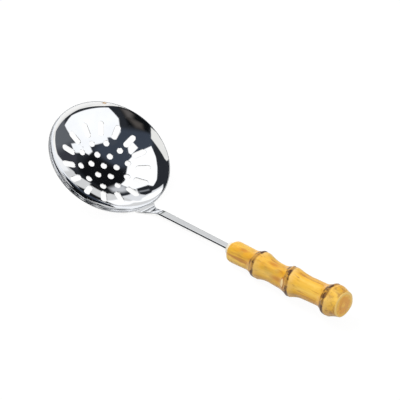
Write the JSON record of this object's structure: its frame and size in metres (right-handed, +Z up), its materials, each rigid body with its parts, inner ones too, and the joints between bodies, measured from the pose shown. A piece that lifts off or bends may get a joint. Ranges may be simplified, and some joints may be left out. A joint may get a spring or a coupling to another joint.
{
  "type": "strainer spoon",
  "caption": "Skimmer with a round perforated mirror-steel bowl, a flat steel shank and a bamboo-root handle, lying on a table with the bowl tipped up.",
  "frame": {"origin": "on the table, under the middle of the spoon's box", "axes": "+X along the spoon, from the bowl towards the butt of the handle; +Z up from the table"},
  "size_m": [0.2484, 0.09, 0.0545],
  "materials": {
    "polished_steel": "mirror-polished stainless steel",
    "bamboo": "clear gloss lacquer over honey-coloured bamboo",
    "adhesive": "cream filler"
  },
  "bodies": {
    "root": {"perforated_bowl": "polished_steel", "shank": "polished_steel", "bamboo_handle": "bamboo", "tang_adhesive": "adhesive"}
  },
  "joints": []
}
